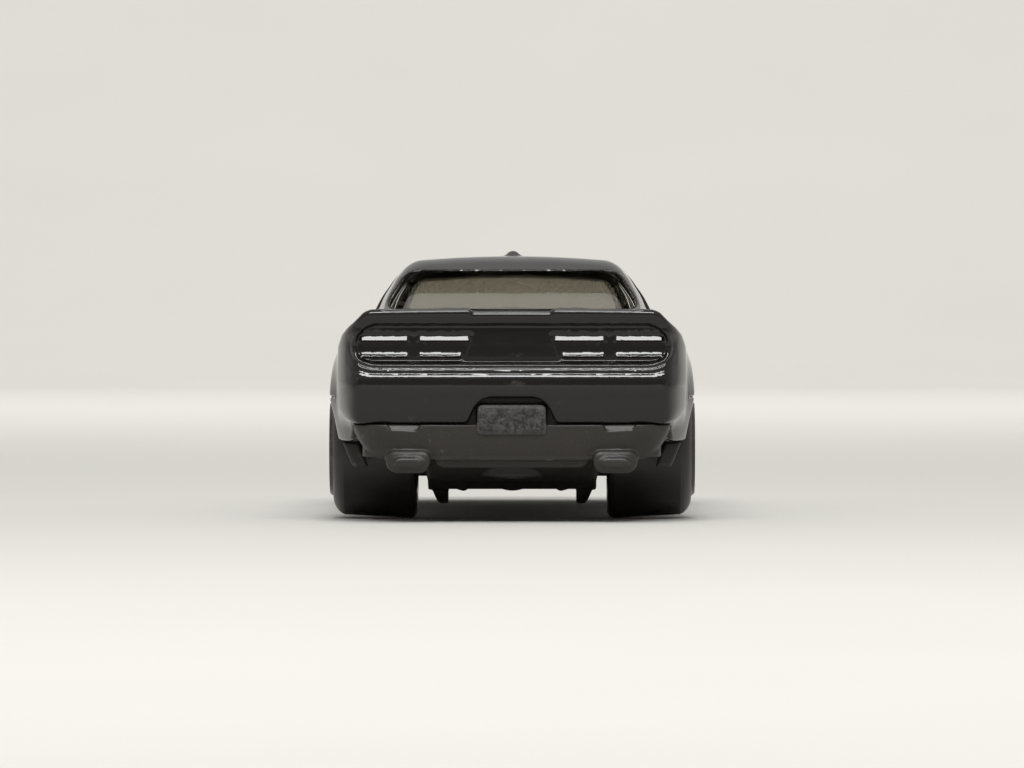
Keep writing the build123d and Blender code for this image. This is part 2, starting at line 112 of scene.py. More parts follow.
def polygon(u, v, points, k=0.4):
    """A convex outline, given anticlockwise, with corners rounded over about k."""
    d = None
    for (u0, v0), (u1, v1) in zip(points, points[1:] + points[:1]):
        length = math.hypot(u1 - u0, v1 - v0)
        edge = ((u - u0) * (v1 - v0) - (v - v0) * (u1 - u0)) / length
        d = edge if d is None else smax(d, edge, k)
    return d


def box3(x, y, z, low, high, k=0.3):
    """A box with rounded edges."""
    d = None
    for t, a, b in zip((x, y, z), low, high):
        side = np.abs(t - (a + b) / 2) - (b - a) / 2
        d = side if d is None else smax(d, side, k)
    return d


def disc(u, v, centre, radius):
    """A circle in two of the coordinates."""
    return np.hypot(u - centre[0], v - centre[1]) - radius


def frame_line(u, v, centre, half, corner):
    """Distance to the outline of a rounded rectangle in two of the coordinates."""
    du = np.abs(u - centre[0]) - half[0] + corner
    dv = np.abs(v - centre[1]) - half[1] + corner
    inside = np.minimum(np.maximum(du, dv), 0)
    return np.abs(np.hypot(np.maximum(du, 0), np.maximum(dv, 0)) + inside - corner)


# ---------------------------------------------------------------- body
# Half-width against height: at the tail, over the rear wheels, along the doors and over the front wheels.
TAIL_WIDTH = [(3, 12.6), (7.8, 13.0), (8.5, 13.55), (9.2, 14.2), (10.4, 14.7), (12.5, 14.85), (15.1, 14.85),
              (15.9, 14.7), (16.4, 14.4), (17.2, 13.55), (18.0, 12.75), (18.6, 12.2)]
HIP_WIDTH = [(3, 14.2), (6, 14.75), (9, 15.1), (12, 15.2), (14.6, 15.1), (15.7, 14.8), (16.4, 14.35),
             (17.2, 13.5), (18.6, 12.2)]
DOOR_WIDTH = [(3, 14.3), (5.5, 14.55), (8, 14.35), (11, 14.7), (13, 14.75), (14.8, 14.3), (16, 13.4),
              (18, 11.4)]
FENDER_WIDTH = [(3, 14.2), (6, 14.8), (9, 15.05), (12, 14.95), (13.6, 14.5), (14.8, 13.6), (16.5, 11.6)]

# Height of bonnet, cowl and deck on the centre line against y.
TOP_LINE = [(-40, 18.2), (-34, 18.05), (-26, 18.15), (-8, 17.9), (6, 17.0), (16, 16.1), (26, 15.45),
            (33, 14.6), (37.2, 13.5), (39, 12.9)]
# Where the tail face and nose face stand (y) against height.
TAIL_LINE = [(3, -36.4), (8.4, -37.9), (10.5, -38.45), (12.0, -38.7), (13.6, -38.35), (15.5, -38.2),
             (16.7, -38.2), (17.3, -38.4), (18.1, -38.6), (19, -38.6)]
NOSE_LINE = [(3, 37.6), (6, 38.3), (9, 38.6), (12, 38.55), (13.4, 38.1), (15, 37.4)]

LAMP_PANEL = [(-12.9, 13.72), (12.9, 13.72), (13.75, 14.9), (12.75, 17.0), (-12.75, 17.0), (-13.75, 14.9)]
LENS = [(4.1, 13.85), (12.9, 13.85), (13.4, 14.6), (13.2, 16.25), (3.2, 16.25)]
# Bars on the lenses: x from, x to, and height of the foot.
LAMP_BARS = [(3.46, 8.08, 15.62), (4.2, 8.05, 14.25), (8.76, 13.1, 15.62), (8.76, 13.1, 14.25)]
BAR_HEIGHT = 0.4
BAR_RISE = 0.19
PANEL_DEPTH = 0.5
RIDGE_RISE = 0.2
TAIL_CORNER_X = 12.9  # where the tail face starts to turn into the sides
ENDS_ROUND = 5.2  # how far nose and sides blend in plan


def tail_relief(x, z):
    """How far the tail face is let in: lamp panel, its ridge, the ledge under it and the lamp bars."""
    panel = polygon(x, z, LAMP_PANEL, 1.3)
    low = 1 - ramp(z, 15.4, 16.4)
    inside = 1 - ramp(panel, -0.12, 0.10)
    depth = PANEL_DEPTH * inside
    ledge = 0.3 - 0.2 * ramp(panel, 0.36, 0.62) - 0.1 * np.clip((panel - 0.92) / 0.3, 0, 1)
    depth = depth + low * (1 - inside) * ledge
    depth = depth - RIDGE_RISE * low * np.exp(-(((panel - 0.26) / 0.17) ** 2))
    for x_from, x_to, foot in LAMP_BARS:
        u = (z - foot) / BAR_HEIGHT
        bar = np.clip(1 - u, 0, 1) * ramp(u, -0.35, 0)
        depth = depth - BAR_RISE * bar * ramp(x, x_from, x_from + 0.25) * (1 - ramp(x, x_to - 0.25, x_to))
    return depth + 0.1 * (1 - ramp(polygon(x, z, LENS, 0.4), -0.1, 0.1))


def lower_body(x, y, z, detail=True):
    """Wings, doors, bonnet, deck and both ends, without the greenhouse."""
    to_tail = 1 - ramp(y, -37.5, -29.5)
    to_hip = ramp(y, -37.5, -29.5) * (1 - ramp(y, -19.0, -8.0))
    to_fender = ramp(y, 10.0, 21.0)
    to_door = 1 - to_tail - to_hip - to_fender
    width = to_tail * curve(z, TAIL_WIDTH) + to_hip * curve(z, HIP_WIDTH)
    width = width + to_door * curve(z, DOOR_WIDTH) + to_fender * curve(z, FENDER_WIDTH)
    width = width - 0.9 * ramp(y, 30, 40)
    crown = 0.0105 - 0.0092 * (1 - ramp(y, -36, -26))
    top = curve(y, TOP_LINE) - crown * x * x
    if detail:
        lip = 0.36 * ramp(x, 3.25, 3.75) * (1 - ramp(y, -37.6, -35.4))
        top = top + lip - 0.1 * ramp(y, -37.4, -35.6) * (1 - ramp(y, -33, -30))
        top = top + 0.3 * ramp(y, 17, 19) * (1 - ramp(y, 35, 37.5)) * (1 - ramp(x, 5.4, 7.2))
    sides = x - width
    tail = curve(z, TAIL_LINE) + 0.0045 * x * x + 0.8 * np.maximum(x - TAIL_CORNER_X, 0) ** 2.2 - y
    if detail:
        tail = tail + tail_relief(x, z) * (1 - ramp(y, -36.4, -35.6))
    nose = y - curve(z, NOSE_LINE) + 0.011 * x * x
    d = smax(sides, nose, ENDS_ROUND)
    d = smax(d, z - top, 0.4 + 0.4 * ramp(y, -37, -32))
    return smax(d, tail, 0.7) if detail else smax(d, tail, 1.2)


# Half-width of the cabin against height.
CABIN_WIDTH = [(13, 13.7), (17, 12.95), (18.4, 12.3), (20.5, 11.0), (21.5, 10.2), (22.6, 9.1), (23.4, 8.2)]
ROOF_TOP = 23.08
ROOF_Y = -4.0  # highest point of the roof


def greenhouse(x, y, z, sink=0.0):
    """Roof, pillars and window surfaces as one closed form, whose floor may be sunk into the body."""
    width = curve(z, CABIN_WIDTH)
    width = width - 0.0035 * (y - ROOF_Y) ** 2
    roof = ROOF_TOP - 0.0052 * x * x - 0.0036 * (y - ROOF_Y) ** 2 + 0.0004 * np.maximum(ROOF_Y - y, 0) ** 3
    screen_y = y + 0.014 * x * x
    screen = ((screen_y - 14.9) * 6.6 + (z - 15.4) * 11.4) / math.hypot(6.6, 11.4)
    screen = screen + 0.004 * (z - 18.5) ** 2
    back_y = y - 0.018 * x * x
    back = (-(back_y + 27.2) * 4.6 + (z - 17.8) * 14.2) / math.hypot(4.6, 14.2)
    d = smax((x - width) * 0.9, z - roof, 0.7)
    d = smax(d, screen, 1.6)
    d = smax(d, back, 0.7)
    floor = curve(y, [(-34, 17.2), (-26, 16.4), (-10, 15.6), (16, 14.9)])
    return smax(d, floor - sink - z, 0.4)


REAR_WINDOW = [(11.25, 18.35), (9.35, 21.6), (-9.35, 21.6), (-11.25, 18.35)]
SCREEN = [(11.4, 16.5), (8.9, 21.25), (-8.9, 21.25), (-11.4, 16.5)]
DOOR_GLASS = [(8.9, 16.6), (2.2, 21.15), (-2.0, 21.6), (-6.7, 21.5), (-6.7, 16.75)]
QUARTER_GLASS = [(-7.5, 16.85), (-7.5, 21.4), (-11.6, 20.7), (-15.8, 18.3), (-15.3, 17.3)]


def windows(x, y, z):
    """Every window opening."""
    rear = smax(polygon(x, z, REAR_WINDOW, 1.0), y + 9.5, 0.2)
    front = smax(polygon(x, z, SCREEN, 1.2), 2.5 - y, 0.2)
    side = np.minimum(polygon(y, z, DOOR_GLASS, 0.8), polygon(y, z, QUARTER_GLASS, 0.7))
    side = smax(side, 7.6 - x, 0.2)
    return np.minimum(np.minimum(rear, front), side)


LOWER_EDGE = [(-42, 8.45), (-36.2, 8.5), (-35.0, 8.3), (-33.4, 7.0), (-31.5, 6.9), (-26, 6.9), (-18, 3.9),
              (-16, 3.9), (29.5, 3.9), (31.0, 5.1), (33, 5.2), (42, 5.2)]


def edge_height(y):
    """Height of the body's lower edge against y."""
    return curve(y, LOWER_EDGE)


def flare(x, y, z, axle, arch_r, foot_rear, foot_front):
    """A raised lip round one wheel arch, split by a seam at its rear foot."""
    r = np.hypot(y - axle[0], z - axle[1])
    behind = y < axle[0]
    face = 15.88 - 0.03 * np.maximum(z - 10.5, 0) ** 1.8 - 0.27 * np.maximum(10.7 - z, 0) * behind
    face = face - 0.3 * np.maximum(r - arch_r - 0.55, 0) ** 1.4
    ring = smax(r - (arch_r + 2.4), arch_r - r, 0.3)
    ring = smax(ring, x - face, 0.5)
    ring = smax(ring, 13.2 - x, 0.3)
    foot = np.where(behind, foot_rear, foot_front)
    ring = smax(ring, foot - z, 0.3)
    seam = np.maximum(np.abs(z - 10.7) - 0.1, 15.35 - x)
    seam = np.maximum(seam, y - axle[0])
    return smax(ring, -seam, 0.12)


def scoop(x, y, z):
    """Raised bonnet intake with an open mouth."""
    top = curve(y, [(16, 16.2), (19, 16.75), (25, 16.6), (29.5, 16.05)])
    d = smax(z - top, x - (3.9 - 0.03 * np.abs(y - 24)), 0.7)
    d = smax(d, y - 30.0 + 0.04 * x * x, 0.5)
    d = smax(d, 17 - y, 0.5)
    d = smax(d, 14 - z, 0.3)
    mouth = box3(x, y, z, (-3.0, 28.6, 15.25), (3.0, 32, 15.75), 0.3)
    return smax(d, -mouth, 0.15)


# Centre, half size and corner radius of the shut lines: doors seen from the side, lids seen from above.
DOOR = ((1.0, 11.2), (9.6, 6.2), 1.4)
BONNET = ((0.0, 25.6), (10.9, 10.9), 1.6)
BOOT_LID = ((0.0, -32.6), (10.6, 3.4), 1.2)
SHUT_DEPTH = 0.16
SHUT_WIDTH = 0.17


def shut_lines(x, y, z):
    """Depth of the grooves round the doors, the bonnet and the boot lid."""
    door = np.exp(-((frame_line(y, z, *DOOR) / SHUT_WIDTH) ** 2))
    door = door * ramp(x, 12.4, 12.9) * (1 - ramp(z, 15.2, 16.0))
    bonnet = np.exp(-((frame_line(x, y, *BONNET) / SHUT_WIDTH) ** 2))
    bonnet = bonnet * ramp(z, 12.8, 13.3) * ramp(y, 12, 13)
    boot = np.exp(-((frame_line(x, y, *BOOT_LID) / SHUT_WIDTH) ** 2))
    boot = boot * ramp(z, 17.0, 17.3) * (1 - ramp(y, -29, -28))
    return SHUT_DEPTH * np.maximum(np.maximum(door, bonnet), boot)


# The two fixing posts: y, height of the foot, height of the head.
POSTS = {"front": (33.0, 5.2, 13.6), "rear": (-31.5, 6.0, 17.4)}
POST_R = 1.9
ARCH_INNER_X = 8.2
CABIN_SINK = 1.6  # keeps the cabin space joined to the space inside the lower body
GRILLE = [(-12.5, 9.0), (12.5, 9.0), (12.9, 10.2), (12.2, 11.5), (-12.2, 11.5), (-12.9, 10.2)]
AERIAL_R = 0.62


def body_field(x, y, z):
    """The cast body shell."""
    x = np.abs(x)
    outer = smin(lower_body(x, y, z), greenhouse(x, y, z), 0.7) + shut_lines(x, y, z)
    wall = WALL + 0.15 + 0.6 * (1 - ramp(y, -37, -34)) * ramp(z, 12.5, 14)
    inner = np.minimum(lower_body(x, y, z, detail=False) + wall, greenhouse(x, y, z, sink=CABIN_SINK) + WALL)
    d = smax(outer, -inner, 0.25)
    d = smin(d, scoop(x, y, z), 0.3)
    d = smin(d, flare(x, y, z, REAR_AXLE, REAR_ARCH_R, 6.95, 4.4), 0.5)
    d = smin(d, flare(x, y, z, FRONT_AXLE, FRONT_ARCH_R, 4.2, 5.4), 0.5)
    for axle, arch_r in ((REAR_AXLE, REAR_ARCH_R), (FRONT_AXLE, FRONT_ARCH_R)):
        arch = smax(disc(y, z, axle, arch_r), ARCH_INNER_X - x, 0.3)
        d = smax(d, -arch, 0.25)
    d = smax(d, edge_height(y) - z, 0.3)
    d = smax(d, -windows(x, y, z), 0.3)
    plate_bay = polygon(x, z, [(4.5, 7.0), (2.75, 10.75), (-2.75, 10.75), (-4.5, 7.0)], 1.1)
    d = smax(d, -smax(plate_bay, y + 36.0, 0.2), 0.35)
    grille = smax(polygon(x, z, GRILLE, 0.7), 33.5 - y, 0.2)
    d = smax(d, -grille, 0.35)
    aerial = np.sqrt(x * x + 0.4 * (y + 5.2) ** 2 + (z - 22.93) ** 2) - AERIAL_R
    d = smin(d, aerial, 0.45)
    for y0, foot, head in POSTS.values():
        post = smax(disc(x, y, (0, y0), POST_R), np.abs(z - (foot + head) / 2) - (head - foot) / 2, 0.2)
        d = np.minimum(d, post)
    return d


# ---------------------------------------------------------------- level set to mesh
EDGES = [(a, b) for a in range(8) for b in range(a + 1, 8) if bin(a ^ b).count("1") == 1]
CORNERS = np.array([[(c >> 2) & 1, (c >> 1) & 1, c & 1] for c in range(8)])


def stations(low, high, step, fine=None):
    """Grid stations at one step, and at half of it inside the fine stretch."""
    places = np.arange(low, high + step, step)
    if fine:
        close = np.arange(fine[0], fine[1], step / 2)
        before = places[places < close[0] - step / 4]
        after = places[places > close[-1] + step / 4]
        places = np.concatenate([before, close, after])
    return places


def surface_net(field, low, high, step, fine):
    """Vertices and quads of the field's zero surface, on the side where x is positive."""
    axes = [stations(low[0] - step / 2, high[0], step)]
    axes += [stations(a, b, step, span) for a, b, span in zip(low[1:], high[1:], fine)]
    values = field(axes[0][:, None, None], axes[1][None, :, None], axes[2][None, None, :])
    values = np.broadcast_to(values, [len(a) for a in axes]).astype(np.float32)
    inside = values < 0
    cells = [n - 1 for n in inside.shape]
    count = np.zeros(cells, np.int8)
    for i, j, k in CORNERS:
        count += inside[i:i + cells[0], j:j + cells[1], k:k + cells[2]]
    active = np.argwhere((count > 0) & (count < 8))
    corner = active[:, None, :] + CORNERS[None]
    v = values[corner[..., 0], corner[..., 1], corner[..., 2]]
    total = np.zeros((len(active), 3))
    hits = np.zeros(len(active))
    for a, b in EDGES:
        cross = (v[:, a] < 0) != (v[:, b] < 0)
        t = np.where(cross, v[:, a] / np.where(cross, v[:, a] - v[:, b], 1), 0)
        point = CORNERS[a] + t[:, None] * (CORNERS[b] - CORNERS[a])
        total += np.where(cross[:, None], point, 0)
        hits += cross
    cell_place = active + total / hits[:, None]
    verts = np.stack([np.interp(cell_place[:, i], np.arange(len(axes[i])), axes[i]) for i in range(3)], 1)
    index = np.full(cells, -1, np.int32)
    index[tuple(active.T)] = np.arange(len(active))
    quads = []
    for axis in range(3):
        first = np.take(inside, range(inside.shape[axis] - 1), axis)
        second = np.take(inside, range(1, inside.shape[axis]), axis)
        change = np.argwhere(first != second)
        u, w = [t for t in range(3) if t != axis]
        keep = (change[:, u] > 0) & (change[:, w] > 0)
        keep = keep & (change[:, u] < cells[u]) & (change[:, w] < cells[w])
        change = change[keep]
        outward = first[tuple(change.T)]
        ring = []
        for du, dw in ((0, 0), (1, 0), (1, 1), (0, 1)):
            cell = change.copy()
            cell[:, u] -= du
            cell[:, w] -= dw
            ring.append(index[tuple(cell.T)])
        ring = np.stack(ring, 1)
        flip = outward if axis != 1 else ~outward
        ring[~flip] = ring[~flip][:, ::-1]
        quads.append(ring)
    return verts, np.concatenate(quads)


def slope(field, p, h=0.02):
    """Unit-step gradient of a field at points."""
    g = np.zeros_like(p)
    for axis in range(3):
        step = np.zeros(3)
        step[axis] = h
        ahead = field(*(p + step).T)
        behind = field(*(p - step).T)
        g[:, axis] = (ahead - behind) / (2 * h)
    return g


def settle(field, p, rounds, reach):
    """Points pulled onto the field's zero surface, and the outward normals there."""
    for _ in range(rounds):
        g = slope(field, p)
        pull = field(*p.T) / np.maximum((g * g).sum(1), 0.1)
        move = g * pull[:, None]
        far = np.linalg.norm(move, axis=1, keepdims=True)
        p = p - move * np.minimum(1, reach / np.maximum(far, 1e-9))
    g = slope(field, p)
    return p, g / np.maximum(np.linalg.norm(g, axis=1, keepdims=True), 1e-9)


def both_sides(verts, quads):
    """Adds the mirror image in x, sharing the vertices on the centre plane."""
    middle = np.abs(verts[:, 0]) < 1e-4
    verts[middle, 0] = 0
    keep = verts[:, 0] > -1e-4
    quads = quads[keep[quads].all(1)]
    other = np.where(middle, np.arange(len(verts)), np.arange(len(verts)) + len(verts))
    verts = np.concatenate([verts, verts * [-1, 1, 1]])
    quads = np.concatenate([quads, other[quads][:, ::-1]])
    used = np.unique(quads)
    number = np.zeros(len(verts), np.int64)
    number[used] = np.arange(len(used))
    return verts[used], number[quads]


def mesh_object(name, verts, faces):
    """A smooth-shaded mesh object from vertices in millimetres."""
    mesh = bpy.data.meshes.new(name)
    mesh.from_pydata((np.asarray(verts) * MM).tolist(), [], [list(f) for f in faces])
    mesh.shade_smooth()
    piece = bpy.data.objects.new(name, mesh)
    bpy.context.scene.collection.objects.link(piece)
    return piece


def quad_object(name, verts, quads):
    """The same for large arrays of quads."""
    mesh = bpy.data.meshes.new(name)
    mesh.vertices.add(len(verts))
    mesh.vertices.foreach_set("co", (verts * MM).astype(np.float32).ravel())
    mesh.loops.add(quads.size)
    mesh.loops.foreach_set("vertex_index", quads.astype(np.int32).ravel())
    mesh.polygons.add(len(quads))
    mesh.polygons.foreach_set("loop_start", np.arange(0, quads.size, 4, dtype=np.int32))
    mesh.update(calc_edges=True)
    mesh.validate()
    mesh.shade_smooth()
    piece = bpy.data.objects.new(name, mesh)
    bpy.context.scene.collection.objects.link(piece)
    return piece


def carve(name, field, low, high, step, faces, fine=(None, None)):
    """A closed piece from a field that is the same on both sides, thinned to about so many triangles."""
    verts, quads = both_sides(*surface_net(field, low, high, step, fine))
    verts, _ = settle(field, verts, 1, step)
    piece = quad_object(name, verts, quads)
    thin = piece.modifiers.new("thin", "DECIMATE")
    thin.ratio = min(1, faces / (2 * len(quads)))
    bpy.context.view_layer.update()
    mesh = bpy.data.meshes.new_from_object(piece.evaluated_get(bpy.context.evaluated_depsgraph_get()))
    piece.modifiers.clear()
    piece.data = mesh
    co = np.zeros(len(mesh.vertices) * 3)
    mesh.vertices.foreach_get("co", co)
    points, normals = settle(field, co.reshape(-1, 3) / MM, 1, step / 3)
    mesh.vertices.foreach_set("co", (points * MM).ravel())
    mesh.shade_smooth()
    mesh.normals_split_custom_set_from_vertices(normals.tolist())
    mesh.update()
    return piece


# ---------------------------------------------------------------- chassis
def plan(x, y, inset):
    """The car's outline seen from above, drawn in by inset."""
    side = x - (14.95 - inset)
    tail = -38.7 + inset + 0.0045 * x * x - y
    nose = y - 38.7 + inset + 0.011 * x * x
    return smax(smax(side, nose, ENDS_ROUND), tail, ENDS_ROUND)


OUTLET = [(7.3, 4.25), (10.35, 4.25), (10.95, 5.2), (10.6, 6.2), (7.1, 6.2), (6.8, 5.2)]
PLATE = [(-2.95, 7.64), (2.95, 7.64), (2.95, 10.12), (-2.95, 10.12)]


def valance(x, y, z):
    """Lower rear bumper: notched skin, ledges, outlets, plate block and side flaps."""
    lean = 0.10 * np.maximum(8.4 - z, 0) + 0.05 * np.maximum(8.4 - z, 0) ** 2
    bulge = 0.3 * np.exp(-(((x - 11.6) / 1.5) ** 2)) * ramp(z, 6.0, 8.0)
    skin = plan(x, y, 0.5 + lean - bulge)
    d = smax(skin, -plan(x, y, 2.8), 0.3)
    d = smax(d, y + 29.6, 0.3)
    right = [(11.9, 5.45), (12.7, 6.15), (14.0, 8.5), (14.2, 9.5)]
    outline = polygon(x, z, right + [(-x0, z0) for x0, z0 in reversed(right)], 0.6)
    d = smax(d, outline, 0.5)
    d = smax(d, z - edge_height(y) + 0.08, 0.15)
    notch = polygon(x, z, [(8.1, 7.85), (10.35, 7.85), (10.95, 9.0), (7.5, 9.0)], 0.3)
    d = smax(d, -smax(notch, (y + 37.72 - 0.5 * (z - 7.9)) * 0.9, 0.1), 0.1)
    ledge = polygon(x, z, [(-6.2, 4.7), (6.2, 4.7), (6.9, 5.6), (-6.9, 5.6)], 0.4)
    ledge = smax(ledge, plan(x, y, 1.9), 0.3)
    d = smin(d, smax(ledge, y + 33.0, 0.3), 0.2)
    lip = polygon(x, z, [(-6.7, 5.3), (6.7, 5.3), (6.7, 5.75), (-6.7, 5.75)], 0.3)
    lip = smax(lip, plan(x, y, 1.2), 0.25)
    d = smin(d, smax(lip, y + 33.0, 0.3), 0.2)
    outlet = polygon(x, z, OUTLET, 0.6)
    barrel = smax(smax(outlet, -38.85 - y + 0.01 * x * x, 0.5), y + 33.6, 0.3)
    d = smin(d, barrel, 0.25)
    tip = polygon(x, z, [(7.7, 4.7), (10.0, 4.7), (10.3, 5.15), (10.0, 5.6), (7.7, 5.6), (7.4, 5.15)], 0.5)
    d = smin(d, smax(tip, np.abs(y + 37.2) - 1.35, 0.3), 0.3)
    wall = box3(x, y, z, (-4.6, -37.0, 6.3), (4.6, -36.0, 10.9), 0.3)
    plate = smax(polygon(x, z, PLATE, 0.55), y + 36.4, 0.2)
    plate = smax(plate, -38.45 - y, 0.45)
    d = smin(np.minimum(d, wall), plate, 0.25)
    flap = polygon(x, z, [(12.4, 4.65), (13.75, 4.65), (14.7, 6.85), (13.2, 6.85)], 0.3)
    return smin(d, smax(flap, np.abs(y + 30.7) - 0.55, 0.3), 0.15)


def fascia(x, y, z):
    """Front splitter, lower bumper, barred grille and four lamp bowls."""
    splitter = smax(plan(x, y, 0.05), np.abs(z - 3.1) - 0.38, 0.3)
    lower = smax(plan(x, y, 0.45 + 0.12 * np.abs(z - 4.4)), np.abs(z - 4.2) - 0.86, 0.35)
    duct = polygon(x, z, [(-8.2, 3.7), (8.2, 3.7), (9.0, 4.7), (-9.0, 4.7)], 0.3)
    lower = smax(lower, -smax(duct, 36.6 - y, 0.1), 0.15)
    back = smax(plan(x, y, 2.3), np.abs(z - 7.7) - 4.2, 0.2)
    bars = np.abs(np.mod(z - 9.0, 0.55) - 0.275) - 0.12
    bars = smax(smax(bars, plan(x, y, 1.9), 0.1), np.abs(z - 10.2) - 1.3, 0.1)
    d = np.minimum(np.minimum(splitter, lower), np.minimum(back, bars))
    d = smax(d, -smax(plan(x, y, 3.6), 3.9 - z, 0.2), 0.2)
    for x0, face_y in ((7.4, 36.6), (10.4, 35.6)):
        r = disc(x, z, (x0, 10.25), 0)
        bowl = smax(r - 1.2, y - face_y, 0.25)
        bowl = smax(bowl, -smax(r - 0.95, face_y - 0.55 - y + 0.25 * r * r, 0.1), 0.1)
        d = np.minimum(d, smax(bowl, 33.5 - y, 0.2))
    return smax(d, 31.6 - y, 0.3)


def chassis_field(x, y, z):
    """The whole moulded chassis."""
    side = x
    x = np.abs(x)
    floor = curve(y, [(-38, 5.4), (-34.4, 4.8), (-31.4, 3.9), (-28.5, 3.5), (31, 3.5), (37, 3.0)])
    floor = floor + np.maximum(5.6 - floor, 0) * ramp(x, 6.9, 7.5) * ramp(-y, 28.5, 29.5)
    pan = smax(np.abs(z - floor - 0.5) - 0.5, smax(plan(x, y, 1.15), x - 12.85, 0.4), 0.2)
    keel = curve(y, [(-29, 3.5), (-26, 2.62), (30, 2.62), (35, 3.1)])
    spine = smax(smax(keel - z, z - keel - 1.0, 0.2), x - 7.4, 0.35)
    spine = smax(spine, np.abs(y - 3.0) - 32.0, 0.3)
    wall = smax(smax(np.abs(x - 6.9) - 0.5, np.abs(z - 3.5) - 0.95, 0.2), np.abs(y - 3.0) - 29.0, 0.3)
    d = smin(pan, np.minimum(spine, wall), 0.15)
    hollow = smax(smax(x - 6.4, np.abs(y - 2.0) - 27.0, 0.3), 3.62 - z, 0.3)
    d = smax(d, -hollow, 0.15)
    for axle, reach, inner_x in ((REAR_AXLE, 7.3, 7.4), (FRONT_AXLE, 6.8, 7.9)):
        bay = smax(np.abs(y - axle[0]) - reach, inner_x - x, 0.8)
        d = smax(d, -bay, 0.25)
    pad = smax(box3(x, y, z, (-7.0, -11.0, 2.4), (7.0, 13.0, 3.2), 0.25), -10.9 - y, 0.1)
    d = smin(d, pad, 0.1)
    skirt = box3(x, y, z, (12.5, -14.0, 3.12), (14.15, 16.0, 3.8), 0.35)
    d = smin(d, skirt, 0.2)
    d = np.minimum(d, running_gear(side, y, z))
    for axle, low in ((REAR_AXLE, 1.26), (FRONT_AXLE, 2.6)):
        lug = smax(np.abs(y - axle[0]) - 1.5, z - axle[1] - 1.4, 0.2)
        tongue = smin(smax(lug, low + 1.5 - z, 0.2), disc(y, z, (axle[0], low + 1.5), 1.5), 0.2)
        outer = 7.2 - 0.16 * np.maximum(low + 2.4 - z, 0) ** 1.8
        tongue = smax(tongue, smax(x - outer, 5.6 - x, 0.25), 0.25)
        slot = np.minimum(disc(y, z, axle, 0.57), smax(np.abs(y - axle[0]) - 0.57, axle[1] - z, 0.1))
        d = smax(smin(d, tongue, 0.25), -smax(slot, 5.0 - x, 0.1), 0.1)
    d = np.minimum(d, valance(x, y, z))
    d = np.minimum(d, fascia(x, y, z))
    for (y0, foot, _), face in zip(POSTS.values(), (3.2, 4.4)):
        low = face - 0.6
        boss = smax(disc(x, y, (0, y0), 2.7), np.abs(z - (low + foot) / 2) - (foot - low) / 2, 0.3)
        d = smin(d, boss, 0.2)
        d = smax(d, -smax(disc(x, y, (0, y0), 1.8), z - face, 0.1), 0.15)
        d = smax(d, -disc(x, y, (0, y0), 0.8), 0.1)
    return d


def running_gear(x, y, z):
    """Moulded relief under the spine: axle housing, shafts, pipes, gearbox, sump and ribs."""
    x = np.abs(x)
    housing = np.sqrt(x * x * 0.6 + (y - REAR_AXLE[0]) ** 2 * 0.8 + (z - 4.1) ** 2) - 1.72
    tube = smax(disc(y, z, (REAR_AXLE[0] + 2.2, 3.05), 0.55), x - 6.4, 0.2)
    shaft = smax(disc(x, z, (0, 2.95), 0.55), np.abs(y + 15.5) - 5.5, 0.2)
    pipe = smax(disc(x, z, (4.2 + 0.5 * np.sin(y * 0.24), 2.95), 0.5), np.abs(y + 18.5) - 7.5, 0.2)
    gearbox = box3(x, y, z, (-1.6, 12.0, 2.42), (1.6, 15.2, 3.2), 0.4)
    sump = box3(x, y, z, (-2.7, 15.0, 2.42), (2.7, 20.5, 3.2), 0.5)
    ribs = smax(np.abs(np.mod(y, 1.5) - 0.75) - 0.14, np.abs(y - 26.5) - 3.0, 0.1)
    ribs = smax(smax(ribs, x - 5.6, 0.1), np.abs(z - 2.8) - 0.32, 0.1)
    d = smin(housing, smin(tube, shaft, 0.3), 0.3)
    for part in (pipe, gearbox, sump, ribs):
        d = np.minimum(d, part)
    return d


# ---------------------------------------------------------------- glazing
# How far the outer and inner face of the glazing lie inside the roof surface.
GLASS_OUTER = 1.12
GLASS_INNER = 1.62


def glazing_field(x, y, z):
    """One thin clear moulding that lines the cabin."""
    x = np.abs(x)
    roof = greenhouse(x, y, z)
    d = smax(roof + GLASS_OUTER, -(roof + GLASS_INNER), 0.1)
    d = smax(d, 15.75 - z, 0.2)
    return smax(d, x - 11.5, 0.3)


def soften(piece, width):
    """Rounded edges as a modifier."""
    bevel = piece.modifiers.new("edges", "BEVEL")
    bevel.width = width * MM
    bevel.segments = 2
    bevel.limit_method = "ANGLE"
    bevel.angle_limit = math.radians(30)
    bevel.harden_normals = True
    return piece


